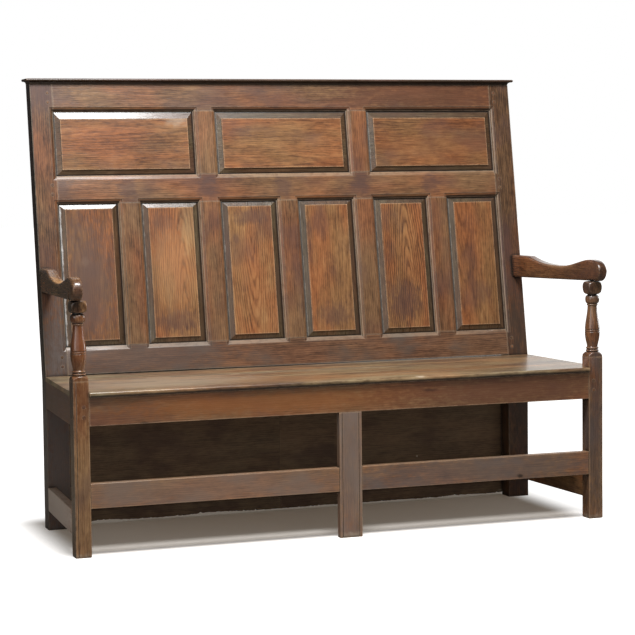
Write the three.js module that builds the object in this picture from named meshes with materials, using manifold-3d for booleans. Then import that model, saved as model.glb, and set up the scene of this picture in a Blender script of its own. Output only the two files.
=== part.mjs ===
// Panelled oak settle: an open-framed bench with a tall raked back of fielded panels,
// turned arm supports and scrolled arms, put together with pegged mortises and tenons.
// X runs across the bench, Y from its front to its back and Z up, in millimetres.

import * as THREE from 'three';
import { mergeVertices } from 'three/addons/utils/BufferGeometryUtils.js';
import Module from 'manifold-3d';

const wasm = await Module();
wasm.setup();

// Whole bench
const benchWidth = 1600; // over the outer faces of the front legs
const seatTop = 452; // floor to the top of the seat boards
const seatDepth = 453; // front of the legs to the front of the stiles
const backInset = 24; // the stiles stand in from the ends by this
const kneeHeight = 450; // the stiles turn from upright to raked here
const rake = THREE.MathUtils.degToRad(9.35);
const fit = 0.3; // gap left between pieces that touch
const overrun = 3; // how far a cut runs past the wood

// Front legs and their turned arm supports
const legSide = 44;
const squareHeight = 497; // floor to the top of the square part
const turnedLength = 170; // collar, vase and cup
const blockHeight = 34; // square block under the arm
const rightLift = 5; // the right arm stands this much higher on its block
const blockSide = 44;
const postTenonRadius = 7;
const postTenonLength = 22;
const shoulderDrop = 15; // height of the rounded shoulders of the square
const footEase = 3; // worn arris round each foot
const turningAllowance = 0.4; // the turning clears the corners of the square part by this
const turnedCurveSteps = 5;
const turnedFacets = 24;

// Scratched beads along the legs
const beadWidth = 8.5;
const quirkWidth = 1.8;
const quirkDepth = 1.5;

// Seat frame
const seatRailBottom = 359;
const seatRailTop = 437.7;
const frontRailThick = 30;
const faceSetback = 1.5; // rails stand this far behind the faces of the legs
const sideRailThick = 27;
const sideSetback = 3;
const rearRailThick = 30;
const bearerWidth = 48;
const bearerHeight = 32;
const bearerTenon = 12;
const bearerPlaceShare = 0.335; // each bearer's place, of half the width

// Stretchers
const frontStretcherBottom = 133;
const frontStretcherTop = 202;
const sideStretcherBottom = 57;
const sideStretcherTop = 126;
const rearStretcherBottom = 52;
const rearStretcherTop = 116;
const stretcherThick = 24;

// Centre leg
const centreLegWidth = 67;
const centreLegThick = 22;
const centreTenonRise = 36;

// Tenons
const tenonThick = 10;
const thinTenon = 8;
const tenonInset = 10; // shoulder above and below a tenon
const frontTenonSetback = 9; // from a leg's face to the tenon's cheek
const frontTenonLength = 30;
const sideTenonLength = 20;
const rearTenonLength = 40;
const centreTenonLength = 27;

// Back frame, measured up along the rake from the knee
const stileWidth = 67;
const stileThick = 52;
const bottomRailRise = 86; // knee to the upper edge of the bottom rail
const lowerOpening = 424;
const middleRailHeight = 84;
const upperOpening = 193;
const topRailHeight = 81;
const backRailThick = 28;
const muntinThick = 26;
const upperMuntinWidth = 70;
const lowerMuntinWidth = 72;
const upperFirstShare = 0.3282; // middle of the first muntin, of the clear width
const upperStepShare = 0.3498; // from one muntin's middle to the next
const lowerFirstShare = 0.1534;
const lowerStepShare = 0.1756;
const backTenonDepth = 10; // from the frame's face to a tenon's cheek
const backTenonLength = 46;
const muntinTenonLength = 18;
const topHaunch = 16; // wood left above the top rail's tenon
const seatGap = 2.5; // bottom rail over the seat boards

// Mouldings worked round each opening of the back
const mouldWidth = 12;
const mouldLedge = 1.5;
const mouldFillet = 2.5; // flat between the ovolo and the panel
const mouldDepth = 8;
const chamferWidth = 14;
const chamferDepth = 9;
const ovoloSteps = 3;

// Fielded panels
const grooveSetback = 12; // from the frame's face to the groove
const grooveWidth = 7;
const grooveDepth = 10;
const panelTongue = 8;
const bevelStart = 1;
const bevelTop = 7; // frame's face down to the top of the bevel
const fieldDrop = 3.8; // frame's face down to the raised field
const sideMargin = 19;
const bottomMargin = 17;
const lowerTopMargin = 16;
const upperTopMargin = 23;

// Crest moulding
const crestThick = 16;
const crestFront = 16;
const crestEnd = 13;
const crestRear = 2;
const crestFillet = 2;
const crestCavetto = 8; // height of the hollow under the nose
const crestSteps = 5;

// Seat boards
const boardThick = 14;
const seatOverhang = 8;
const seatEnd = 2; // boards stop this far in from the legs' outer faces
const seatSplit = 330; // front of the legs to the joint between the boards
const seatRearReach = 34; // rear board runs this far behind the stiles' front faces
const seatNose = 5; // radius of the worn front edge
const noseSteps = 4;

// Boards that close the back below the seat
const lowerBoardThick = 14;
const lowerBoardFoot = 4;
const lowerBoardTop = 432;
const lowerBoardLap = 61; // over the back of each stile
const lowerBoardJoint = 41; // joint between them, left of the middle

// Arms
const armWidth = 34;
const armOutset = 7; // arm's middle outside the middle of the post
const armRearHeight = 65;
const armRearDrop = 6; // underside falls this much towards the stile
const armFlat = 105; // level top next to the stile
const armWaist = 38;
const armWaistPlace = 178; // post to the waist
const hollowShare = 0.35; // how steeply the top falls from the level part, of that fall
const waistShare = 0.65; // length of the waist in front of its lowest point
const scrollHeight = 63;
const scrollCrownPlace = 10; // post to the crown of the scroll
const scrollReach = 50; // post to the front of the scroll
const scrollFootPlace = 22; // post to the underside of the scroll
const armEase = 5; // rounded arrises
const armSteps = 8;
const armEaseSteps = 3;
const armTenonWidth = 12;
const armTenonHeight = 38;
const armTenonLength = 30;

// Draw-bore pegs
const pegRadius = 4;
const pegProud = 0.8;
const pegLength = 38;
const pegTaperShare = 0.88; // radius at the point
const pegSetback = 15; // from the shoulder to the peg
const pegSpread = 14; // each side of the rail's middle
const pegFacets = 12;

// Places that follow from the sizes above
const halfWidth = benchWidth / 2;
const legInner = halfWidth - legSide;
const postPlace = halfWidth - legSide / 2;
const stileOuter = halfWidth - backInset;
const stileInner = stileOuter - stileWidth;
const clearWidth = 2 * stileInner;
const legBack = seatDepth + stileThick; // back faces of the rear legs
const lowerTop = bottomRailRise + lowerOpening;
const upperBottom = lowerTop + middleRailHeight;
const upperTop = upperBottom + upperOpening;
const rakedLength = upperTop + topRailHeight;
const frameTop = kneeHeight + rakedLength * Math.cos(rake); // the frame is cut level under the crest
const crestFace = seatDepth + rakedLength * Math.sin(rake);
const blockBottom = squareHeight + turnedLength;
const postTop = blockBottom + blockHeight; // left post; the right one stands higher by its lift
const boardTop = seatTop;
const boardBottom = seatTop - boardThick;

const SIDES = [
  { side: -1, hand: 'left', lift: 0 },
  { side: 1, hand: 'right', lift: rightLift },
];

// Placement of the raked back: its own X, depth behind the frame's face, and height along the rake
const backPlacement = new THREE.Matrix4().makeRotationX(-rake);
backPlacement.setPosition(0, seatDepth, kneeHeight);
const toBack = backPlacement.clone().invert();

// Solids from three.js geometry, and back again
function solidOf(geometry) {
  const bare = geometry.clone();
  bare.deleteAttribute('normal');
  bare.deleteAttribute('uv');
  const merged = mergeVertices(bare);
  const corners = merged.index.array;
  const triangles = [];
  for (let i = 0; i < corners.length; i += 3) {
    const [a, b, c] = corners.slice(i, i + 3);
    if (a !== b && b !== c && c !== a) triangles.push(a, b, c);
  }
  const mesh = new wasm.Mesh({
    numProp: 3,
    vertProperties: new Float32Array(merged.attributes.position.array),
    triVerts: new Uint32Array(triangles),
  });
  return new wasm.Manifold(mesh);
}

function geometryOf(solid) {
  const mesh = solid.getMesh();
  const geometry = new THREE.BufferGeometry();
  geometry.setAttribute('position', new THREE.Float32BufferAttribute(mesh.vertProperties, 3));
  geometry.setIndex(Array.from(mesh.triVerts));
  geometry.computeVertexNormals();
  return geometry;
}

function joined(solids) {
  return solids.reduce((whole, solid) => whole.add(solid));
}

function cut(solid, cutters) {
  return cutters.reduce((rest, cutter) => rest.subtract(cutter), solid);
}

// Block between two corners; grow makes it larger all round, for a mortise or a notch
function block(x0, x1, y0, y1, z0, z1, grow = 0) {
  const geometry = new THREE.BoxGeometry(
    Math.abs(x1 - x0) + 2 * grow,
    Math.abs(y1 - y0) + 2 * grow,
    Math.abs(z1 - z0) + 2 * grow,
  );
  return geometry.translate((x0 + x1) / 2, (y0 + y1) / 2, (z0 + z1) / 2);
}

// Prism with a plan outline, standing between two heights
function upright(points, z0, z1) {
  const outline = new THREE.Shape(points.map(([x, y]) => new THREE.Vector2(x, y)));
  const geometry = new THREE.ExtrudeGeometry(outline, { depth: z1 - z0, bevelEnabled: false });
  return geometry.translate(0, 0, z0);
}

// Prism with an outline in Y and Z, running across the bench
function across(outline, x0, x1, options = {}) {
  const settings = { depth: x1 - x0, bevelEnabled: false, ...options };
  const geometry = new THREE.ExtrudeGeometry(outline, settings);
  const turn = new THREE.Matrix4().makeBasis(
    new THREE.Vector3(0, 1, 0),
    new THREE.Vector3(0, 0, 1),
    new THREE.Vector3(1, 0, 0),
  );
  return geometry.applyMatrix4(turn).translate(x0, 0, 0);
}

// Prism with an outline in X and Z, running from front to back
function frontToBack(outline, y0, y1) {
  const geometry = new THREE.ExtrudeGeometry(outline, { depth: y1 - y0, bevelEnabled: false });
  const turn = new THREE.Matrix4().makeBasis(
    new THREE.Vector3(1, 0, 0),
    new THREE.Vector3(0, 0, 1),
    new THREE.Vector3(0, -1, 0),
  );
  return geometry.applyMatrix4(turn).translate(0, y1, 0);
}

// Closed skin through upright rectangles that follow one another from front to back
function skin(levels) {
  const positions = [];
  for (const { y, left, right, bottom, top } of levels) {
    positions.push(left, y, bottom, right, y, bottom, right, y, top, left, y, top);
  }
  const last = 4 * (levels.length - 1);
  const faces = [0, 1, 2, 0, 2, 3, last, last + 2, last + 1, last, last + 3, last + 2];
  for (let level = 0; level < last; level += 4) {
    for (let corner = 0; corner < 4; corner += 1) {
      const a = level + corner;
      const b = level + ((corner + 1) % 4);
      faces.push(a, a + 4, b + 4, a, b + 4, b);
    }
  }
  const geometry = new THREE.BufferGeometry();
  geometry.setAttribute('position', new THREE.Float32BufferAttribute(positions, 3));
  geometry.setIndex(faces);
  return geometry;
}

// Oak, by the look of each kind of piece
function oak(name, colour, roughness) {
  return new THREE.MeshStandardMaterial({ name, color: colour, roughness, metalness: 0 });
}

const frameOak = oak('frame_oak', 0x6e4a30, 0.5);
const panelOak = oak('panel_oak', 0x8a5a38, 0.45);
const seatOak = oak('seat_oak', 0x8c6b4c, 0.5);
const backOak = oak('back_oak', 0x43342a, 0.75);
const crestOak = oak('crest_oak', 0x4a3527, 0.5);
const pegOak = oak('peg_oak', 0x4b3322, 0.6);

// The bench, with its raked back as a group of its own
const settle = new THREE.Group();
const back = new THREE.Group();
back.position.set(0, seatDepth, kneeHeight);
back.rotation.x = -rake;
settle.add(back);

function piece(parent, name, solid, material) {
  const mesh = new THREE.Mesh(geometryOf(solid), material);
  mesh.name = name;
  parent.add(mesh);
  return mesh;
}

// Side rails and stretchers: straight, but closer together at the back than at the front
function sideLine(y) {
  const run = (y - legSide) / (seatDepth - legSide);
  return halfWidth - sideSetback - run * (backInset - sideSetback);
}

function sideBeam(side, inset, thick, y0, y1, z0, z1, grow = 0) {
  const outer = inset - grow;
  const inner = inset + thick + grow;
  const corners = [
    [side * (sideLine(y0) - outer), y0 - grow],
    [side * (sideLine(y0) - inner), y0 - grow],
    [side * (sideLine(y1) - inner), y1 + grow],
    [side * (sideLine(y1) - outer), y1 + grow],
  ];
  return upright(side > 0 ? corners.reverse() : corners, z0 - grow, z1 + grow);
}

function sideTenon(side, thick, z0, z1, grow = 0) {
  const inset = (thick - thinTenon) / 2;
  const start = legSide - sideTenonLength;
  const end = seatDepth + sideTenonLength;
  return sideBeam(side, inset, thinTenon, start, end, z0 + tenonInset, z1 - tenonInset, grow);
}

const sideHeights = {
  seatRail: { thick: sideRailThick, bottom: seatRailBottom, top: seatRailTop },
  stretcher: { thick: stretcherThick, bottom: sideStretcherBottom, top: sideStretcherTop },
};

function sideMember(side, { thick, bottom, top }) {
  const body = sideBeam(side, 0, thick, legSide + fit, seatDepth - fit, bottom, top);
  return solidOf(body).add(solidOf(sideTenon(side, thick, bottom, top)));
}

function sideMortises(side) {
  return Object.values(sideHeights).map(({ thick, bottom, top }) => sideTenon(side, thick, bottom, top, fit));
}

for (const { side, hand } of SIDES) {
  piece(settle, `side_seat_rail_${hand}`, sideMember(side, sideHeights.seatRail), frameOak);
  piece(settle, `side_stretcher_${hand}`, sideMember(side, sideHeights.stretcher), frameOak);
}

// Pegs: one set of places serves the pegs, the holes in the cheeks and the holes in the tenons
const backRails = {
  top_rail: { bottom: upperTop, top: rakedLength },
  middle_rail: { bottom: lowerTop, top: upperBottom },
  bottom_rail: { bottom: 0, top: bottomRailRise },
};

function pegPlaces(shoulder, bottom, top) {
  const middle = (bottom + top) / 2;
  const places = [];
  for (const { side, hand } of SIDES) {
    const x = side * (shoulder + pegSetback);
    places.push({ x, z: middle + pegSpread, end: `${hand}_upper` });
    places.push({ x, z: middle - pegSpread, end: `${hand}_lower` });
  }
  return places;
}

function pegGeometry(radius, length) {
  const geometry = new THREE.CylinderGeometry(radius * pegTaperShare, radius, length, pegFacets);
  return geometry.translate(0, length / 2, 0);
}

function pegHoles(places) {
  return places.map(({ x, z }) => {
    const radius = pegRadius + fit;
    const hole = new THREE.CylinderGeometry(radius, radius, pegLength + overrun, pegFacets);
    return solidOf(hole.translate(x, (pegLength + overrun) / 2 - overrun + fit, z));
  });
}

function addPegs(parent, joint, places) {
  for (const { x, z, end } of places) {
    const mesh = piece(parent, `peg_${joint}_${end}`, solidOf(pegGeometry(pegRadius, pegLength)), pegOak);
    mesh.position.set(x, -pegProud, z);
  }
}

const legPegs = pegPlaces(legInner, seatRailBottom, seatRailTop);
const backPegs = {};
for (const [name, rail] of Object.entries(backRails)) {
  backPegs[name] = pegPlaces(stileInner, rail.bottom, rail.top);
}

// Front seat rail and stretchers, with one bar through each as its two tenons
function frontTenon(x0, x1, bottom, top, grow = 0) {
  const y0 = frontTenonSetback;
  return block(x0, x1, y0, y0 + thinTenon, bottom + tenonInset, top - tenonInset, grow);
}

const seatRailTenons = [-1, 1].map((side) => ({
  x0: side * (legInner - overrun),
  x1: side * (legInner + frontTenonLength),
}));

function frontRail() {
  const body = block(
    -legInner + fit,
    legInner - fit,
    faceSetback,
    faceSetback + frontRailThick,
    seatRailBottom,
    seatRailTop,
  );
  const tenons = seatRailTenons.map(({ x0, x1 }) => solidOf(frontTenon(x0, x1, seatRailBottom, seatRailTop)));
  const whole = joined([solidOf(body), ...tenons]);
  const mortises = [centreTenon(fit), ...bearerTenons(fit)].map(solidOf);
  return cut(whole, [...mortises, ...pegHoles(legPegs)]);
}

function centreTenon(grow = 0) {
  const half = centreLegWidth / 2 - tenonInset;
  const y0 = frontTenonSetback;
  const z0 = seatRailBottom - overrun;
  return block(-half, half, y0, y0 + thinTenon, z0, seatRailBottom + centreTenonRise, grow);
}

function stretcherTenon(x0, x1, grow = 0) {
  return frontTenon(x0, x1, frontStretcherBottom, frontStretcherTop, grow);
}

function frontStretcher(side) {
  const start = side * (centreLegWidth / 2 + fit);
  const end = side * (legInner - fit);
  const body = block(
    start,
    end,
    faceSetback,
    faceSetback + stretcherThick,
    frontStretcherBottom,
    frontStretcherTop,
  );
  const inner = side * (centreLegWidth / 2 - centreTenonLength);
  const tenon = stretcherTenon(inner, side * (legInner + frontTenonLength));
  return solidOf(body).add(solidOf(tenon));
}

function stretcherMortises() {
  return [-1, 1].map((side) => {
    const inner = side * (centreLegWidth / 2 - centreTenonLength);
    return solidOf(stretcherTenon(inner, side * (legInner + frontTenonLength), fit));
  });
}

// Quirk of a scratched bead, down the front face of a leg
function quirk(x, height) {
  const half = quirkWidth / 2;
  return solidOf(block(x - half, x + half, -overrun, quirkDepth, -overrun, height));
}

function centreLeg() {
  const half = centreLegWidth / 2;
  const body = block(-half, half, 0, centreLegThick, 0, seatRailBottom - fit);
  const quirks = [-1, 1].map((side) => quirk(side * (half - beadWidth), seatRailBottom));
  const shaped = cut(solidOf(body), quirks);
  return cut(shaped.add(solidOf(centreTenon())), stretcherMortises());
}

piece(settle, 'front_seat_rail', frontRail(), frameOak);
piece(settle, 'front_leg_centre', centreLeg(), frameOak);
for (const { side, hand } of SIDES) {
  piece(settle, `front_stretcher_${hand}`, frontStretcher(side), frameOak);
}

// Front leg: one turning from foot to arm, left square where the rails come in
const ringShares = { height: 0.05, core: 0.79, bulge: 0.08 };
const neckShares = { low: 0.75, high: 0.63 };
const bellyShares = { start: 0.12, widest: 0.36, end: 0.82, radius: 0.99 };
const cupShares = { start: 0.835, turn: 0.87, middle: 0.93, end: 0.985, radius: 0.93, core: 0.68 };
const blockRoundShares = { foot: 0.66, widest: 1.34, head: 0.75 };

function legTurning(top) {
  const half = legSide / 2;
  const corner = half * Math.SQRT2 + turningAllowance;
  const at = (share) => squareHeight + share * turnedLength;
  const ring = ringShares.height * turnedLength;
  const outline = new THREE.Path();
  outline.moveTo(0, 0);
  outline.lineTo(corner - footEase, 0);
  outline.lineTo(corner, footEase);
  outline.lineTo(corner, squareHeight - shoulderDrop);
  outline.quadraticCurveTo(corner, squareHeight, half * ringShares.core, squareHeight);
  outline.absellipse(
    half * ringShares.core,
    squareHeight + ring / 2,
    half * ringShares.bulge,
    ring / 2,
    -Math.PI / 2,
    Math.PI / 2,
  );
  outline.lineTo(half * neckShares.low, squareHeight + ring);
  outline.lineTo(half * neckShares.low, at(bellyShares.start));
  outline.bezierCurveTo(
    half * bellyShares.radius,
    at((bellyShares.start + bellyShares.widest) / 2),
    half * bellyShares.radius,
    at(bellyShares.widest),
    half * bellyShares.radius,
    at(bellyShares.widest),
  );
  outline.bezierCurveTo(
    half * bellyShares.radius,
    at(bellyShares.widest + bellyShares.start),
    half * neckShares.high,
    at(bellyShares.end - bellyShares.start),
    half * neckShares.high,
    at(bellyShares.end),
  );
  outline.lineTo(half * cupShares.core, at(cupShares.start));
  const cup = half * cupShares.radius;
  outline.quadraticCurveTo(cup, at(cupShares.turn), cup, at(cupShares.middle));
  outline.quadraticCurveTo(cup, at(cupShares.end), half * cupShares.core, at(cupShares.end));
  const blockHalf = blockSide / 2;
  const widest = blockHalf * blockRoundShares.widest;
  outline.lineTo(blockHalf * blockRoundShares.foot, blockBottom);
  outline.quadraticCurveTo(widest, blockBottom, widest, (blockBottom + top) / 2);
  outline.quadraticCurveTo(widest, top, blockHalf * blockRoundShares.head, top);
  outline.lineTo(postTenonRadius, top);
  outline.lineTo(postTenonRadius, top + postTenonLength);
  outline.lineTo(0, top + postTenonLength);
  const points = outline.getPoints(turnedCurveSteps);
  const turning = new THREE.LatheGeometry(points, turnedFacets, Math.PI / turnedFacets);
  return turning.rotateX(Math.PI / 2);
}

function frontLeg(side, lift) {
  const top = postTop + lift;
  const half = legSide / 2;
  const blockHalf = blockSide / 2;
  const cupNeck = squareHeight + turnedLength * bellyShares.end;
  const square = block(-half, half, -half, half, 0, cupNeck);
  const head = block(-blockHalf, blockHalf, -blockHalf, blockHalf, cupNeck, top + postTenonLength);
  const stock = solidOf(square).add(solidOf(head));
  const turned = solidOf(legTurning(top)).intersect(stock);
  const shift = new THREE.Matrix4().makeTranslation(side * postPlace, half, 0);
  const placed = solidOf(geometryOf(turned).applyMatrix4(shift));
  const rails = seatRailTenons.map(({ x0, x1 }) => solidOf(frontTenon(x0, x1, seatRailBottom, seatRailTop, fit)));
  const sides = sideMortises(side).map(solidOf);
  const bead = quirk(side * (halfWidth - beadWidth), squareHeight - shoulderDrop);
  return cut(placed, [...rails, ...sides, ...stretcherMortises(), ...pegHoles(legPegs), bead]);
}

for (const { side, hand, lift } of SIDES) {
  piece(settle, `front_leg_${hand}`, frontLeg(side, lift), frameOak);
}
addPegs(settle, 'seat_rail', legPegs);

// Rear seat rail and rear stretcher, between the upright parts of the stiles
const rearMembers = {
  rear_seat_rail: { thick: rearRailThick, bottom: seatRailBottom, top: seatRailTop },
  rear_stretcher: { thick: stretcherThick, bottom: rearStretcherBottom, top: rearStretcherTop },
};

function rearTenon({ thick, bottom, top }, grow = 0) {
  const reach = stileInner + rearTenonLength;
  const y0 = legBack - (thick + tenonThick) / 2;
  return block(-reach, reach, y0, y0 + tenonThick, bottom + tenonInset, top - tenonInset, grow);
}

function bearerTenons(grow = 0) {
  const place = halfWidth * bearerPlaceShare;
  const half = bearerWidth / 2 - tenonInset;
  const y0 = faceSetback + frontRailThick - bearerTenon;
  const y1 = legBack - rearRailThick + bearerTenon;
  const z0 = seatRailTop - bearerHeight + tenonInset;
  return [-place, place].map((x) => block(x - half, x + half, y0, y1, z0, z0 + thinTenon, grow));
}

for (const [name, member] of Object.entries(rearMembers)) {
  const { thick, bottom, top } = member;
  const body = block(-stileInner + fit, stileInner - fit, legBack - thick, legBack, bottom, top);
  const whole = solidOf(body).add(solidOf(rearTenon(member)));
  piece(settle, name, cut(whole, bearerTenons(fit).map(solidOf)), frameOak);
}

// Bearers from front to back under the seat boards
bearerTenons().forEach((tenon, index) => {
  const x = SIDES[index].side * halfWidth * bearerPlaceShare;
  const half = bearerWidth / 2;
  const y0 = faceSetback + frontRailThick + fit;
  const y1 = legBack - rearRailThick - fit;
  const body = block(x - half, x + half, y0, y1, seatRailTop - bearerHeight, seatRailTop);
  piece(settle, `seat_bearer_${SIDES[index].hand}`, solidOf(body).add(solidOf(tenon)), backOak);
});

// Openings of the back: three wide ones over six tall ones, the last of each row taking what is left
function muntinCentres(count, firstShare, stepShare) {
  return Array.from({ length: count }, (_, k) => clearWidth * (firstShare + k * stepShare) - stileInner);
}

function openingsBetween(centres, muntin, bottom, top, topMargin) {
  const edges = [-stileInner - muntin / 2, ...centres, stileInner + muntin / 2];
  return edges.slice(1).map((edge, k) => ({
    left: edges[k] + muntin / 2,
    right: edge - muntin / 2,
    bottom,
    top,
    topMargin,
  }));
}

const upperMuntins = muntinCentres(2, upperFirstShare, upperStepShare);
const lowerMuntins = muntinCentres(5, lowerFirstShare, lowerStepShare);
const upperOpenings = openingsBetween(upperMuntins, upperMuntinWidth, upperBottom, upperTop, upperTopMargin);
const lowerOpenings = openingsBetween(lowerMuntins, lowerMuntinWidth, bottomRailRise, lowerTop, lowerTopMargin);

// Ovolo on three sides of an opening and a broad chamfer on its sill, mitred at the corners
function mouldingCutter({ left, right, bottom, top }) {
  const sill = (y) => chamferWidth * Math.max(0, 1 - y / chamferDepth);
  const level = (y, width, drop) => ({
    y,
    left: left - width,
    right: right + width,
    bottom: bottom - drop,
    top: top + width,
  });
  const levels = [level(-overrun, mouldWidth, chamferWidth), level(0, mouldWidth, chamferWidth)];
  levels.push(level(mouldLedge, mouldWidth, sill(mouldLedge)));
  const round = { width: mouldWidth - mouldLedge - mouldFillet, depth: mouldDepth - mouldLedge };
  for (let step = 0; step <= ovoloSteps; step += 1) {
    const turn = (step / ovoloSteps) * (Math.PI / 2);
    const y = mouldDepth - round.depth * Math.cos(turn);
    levels.push(level(y, mouldFillet + round.width * (1 - Math.sin(turn)), sill(y)));
  }
  levels.push(level(chamferDepth, 0, 0));
  return skin(levels);
}

function grooveCutter({ left, right, bottom, top }) {
  const y1 = grooveSetback + grooveWidth;
  return block(left, right, grooveSetback, y1, bottom, top);
}

function widened(opening, amount) {
  return {
    left: opening.left - amount,
    right: opening.right + amount,
    bottom: opening.bottom - amount,
    top: opening.top + amount,
  };
}

const openingCuts = [...upperOpenings, ...lowerOpenings].flatMap((opening) => [
  solidOf(mouldingCutter(opening)),
  solidOf(grooveCutter(widened(opening, grooveDepth))),
]);

// Rails of the back
function railTenon({ bottom, top }, grow = 0) {
  const reach = stileInner + backTenonLength;
  const z1 = top === rakedLength ? top - topHaunch : top - tenonInset;
  const z0 = bottom === 0 ? bottom + topHaunch : bottom + tenonInset;
  return block(-reach, reach, backTenonDepth, backTenonDepth + tenonThick, z0, z1, grow);
}

function muntinTenons(centres, width, bottom, top, grow = 0) {
  const half = width / 2 - tenonInset;
  return centres.map((x) =>
    block(
      x - half,
      x + half,
      backTenonDepth,
      backTenonDepth + thinTenon,
      bottom - muntinTenonLength,
      top + muntinTenonLength,
      grow,
    ),
  );
}

const muntinRows = [
  { row: 'upper', centres: upperMuntins, width: upperMuntinWidth, bottom: upperBottom, top: upperTop },
  { row: 'lower', centres: lowerMuntins, width: lowerMuntinWidth, bottom: bottomRailRise, top: lowerTop },
];

const muntinMortises = muntinRows.flatMap(({ centres, width, bottom, top }) =>
  muntinTenons(centres, width, bottom, top, fit).map(solidOf),
);

// Level cuts across the raked frame: over the seat boards and under the crest
function levelCut(z0, z1) {
  return solidOf(block(-stileInner, stileInner, 0, benchWidth, z0, z1).applyMatrix4(toBack));
}

const levelCuts = [levelCut(0, seatTop + seatGap), levelCut(frameTop, benchWidth)];

for (const [name, rail] of Object.entries(backRails)) {
  const { bottom, top } = rail;
  const stock = top === rakedLength ? top + backRailThick * Math.tan(rake) : top;
  const body = solidOf(block(-stileInner + fit, stileInner - fit, 0, backRailThick, bottom, stock));
  const grooved = cut(body, [...openingCuts, ...levelCuts]);
  const whole = grooved.add(solidOf(railTenon(rail)));
  const mortised = cut(whole, [...muntinMortises, ...pegHoles(backPegs[name])]);
  piece(back, `back_${name}`, mortised, frameOak);
  addPegs(back, name, backPegs[name]);
}

// Muntins
for (const { row, centres, width, bottom, top } of muntinRows) {
  const tenons = muntinTenons(centres, width, bottom, top);
  centres.forEach((x, index) => {
    const body = block(x - width / 2, x + width / 2, 0, muntinThick, bottom + fit, top - fit);
    const moulded = cut(solidOf(body), openingCuts);
    piece(back, `${row}_muntin_${index + 1}`, moulded.add(solidOf(tenons[index])), frameOak);
  });
}

// Fielded panels: tongue in the groove, bevel, step and raised field
function panel(opening) {
  const tongueFront = grooveSetback + fit;
  const tongueBack = grooveSetback + grooveWidth - fit;
  const rim = widened(opening, panelTongue);
  const mouth = widened(opening, -bevelStart);
  const field = {
    left: opening.left + sideMargin,
    right: opening.right - sideMargin,
    bottom: opening.bottom + bottomMargin,
    top: opening.top - opening.topMargin,
  };
  return skin([
    { y: fieldDrop, ...field },
    { y: bevelTop, ...field },
    { y: tongueFront, ...mouth },
    { y: tongueFront, ...rim },
    { y: tongueBack, ...rim },
  ]);
}

upperOpenings.forEach((opening, index) => {
  piece(back, `upper_panel_${index + 1}`, solidOf(panel(opening)), panelOak);
});
lowerOpenings.forEach((opening, index) => {
  piece(back, `lower_panel_${index + 1}`, solidOf(panel(opening)), panelOak);
});

// Stiles: rear legs and back posts in one, turned back at the knee
function inBack(y, z) {
  const point = new THREE.Vector3(0, y, z).applyMatrix4(toBack);
  return [point.y, point.z];
}

function stileOutline() {
  const kneeDrop = stileThick * Math.tan(rake / 2);
  const points = [
    inBack(seatDepth, 0),
    inBack(seatDepth, kneeHeight),
    [0, rakedLength],
    [stileThick, rakedLength + stileThick * Math.tan(rake)],
    [stileThick, -kneeDrop],
    inBack(legBack, 0),
  ];
  return new THREE.Shape(points.map(([y, z]) => new THREE.Vector2(y, z)));
}

function armTenon(side, grow = 0) {
  const x = side * (stileOuter - armWidth / 2);
  const half = armTenonWidth / 2;
  const z0 = (postTop - armRearDrop - kneeHeight) / Math.cos(rake) + tenonInset;
  return block(x - half, x + half, -overrun, armTenonLength, z0, z0 + armTenonHeight, grow);
}

function stile(side) {
  const x0 = Math.min(side * stileInner, side * stileOuter);
  const body = solidOf(across(stileOutline(), x0, x0 + stileWidth));
  const rearMortises = Object.values(rearMembers).map((member) => rearTenon(member, fit));
  const worldMortises = [...rearMortises, ...sideMortises(side)].map((mortise) =>
    solidOf(mortise.applyMatrix4(toBack)),
  );
  const railMortises = Object.values(backRails).map((rail) => solidOf(railTenon(rail, fit)));
  const holes = Object.values(backPegs).flatMap(pegHoles);
  const arm = solidOf(armTenon(side, fit));
  return cut(body, [...openingCuts, ...worldMortises, ...railMortises, ...holes, arm]);
}

for (const { side, hand } of SIDES) {
  piece(back, `back_stile_${hand}`, stile(side), frameOak);
}

// Crest: a level board with a round nose over a hollow, returned round both ends
function crestOutline(reach, tail) {
  const noseRadius = (crestThick - crestCavetto) / 2;
  const hollow = reach - noseRadius - crestFillet;
  const outline = new THREE.Shape();
  outline.moveTo(tail, 0);
  outline.lineTo(tail, crestThick);
  outline.lineTo(-reach + noseRadius, crestThick);
  for (let step = 1; step <= crestSteps; step += 1) {
    const turn = (step / crestSteps) * Math.PI;
    const nose = noseRadius * Math.sin(turn);
    outline.lineTo(-reach + noseRadius - nose, crestThick - noseRadius + noseRadius * Math.cos(turn));
  }
  outline.lineTo(-hollow, crestCavetto);
  for (let step = 1; step <= crestSteps; step += 1) {
    const turn = (step / crestSteps) * (Math.PI / 2);
    outline.lineTo(-hollow * (1 - Math.sin(turn)), crestCavetto * Math.cos(turn));
  }
  return outline;
}

function crest() {
  const reach = stileOuter + crestEnd;
  const tail = stileThick / Math.cos(rake) + crestRear;
  const run = solidOf(across(crestOutline(crestFront, tail), -reach, reach));
  const halves = [-1, 1].map((side) => {
    const end = frontToBack(crestOutline(crestEnd, stileOuter), -crestFront, tail);
    if (side < 0) return solidOf(end.translate(-stileOuter, 0, 0));
    return solidOf(end.rotateZ(Math.PI).translate(stileOuter, tail - crestFront, 0));
  });
  return run.intersect(joined(halves));
}

piece(settle, 'crest_moulding', crest(), crestOak).position.set(0, crestFace, frameTop + fit);

// Seat: two long boards, notched round the legs and the stiles
function seatPlan(y0, y1) {
  const end = (y) => sideLine(y) + sideSetback - seatEnd;
  const corners = [
    [-end(y0), y0],
    [end(y0), y0],
    [end(y1), y1],
    [-end(y1), y1],
  ];
  return solidOf(upright(corners, boardBottom, boardTop));
}

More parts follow.
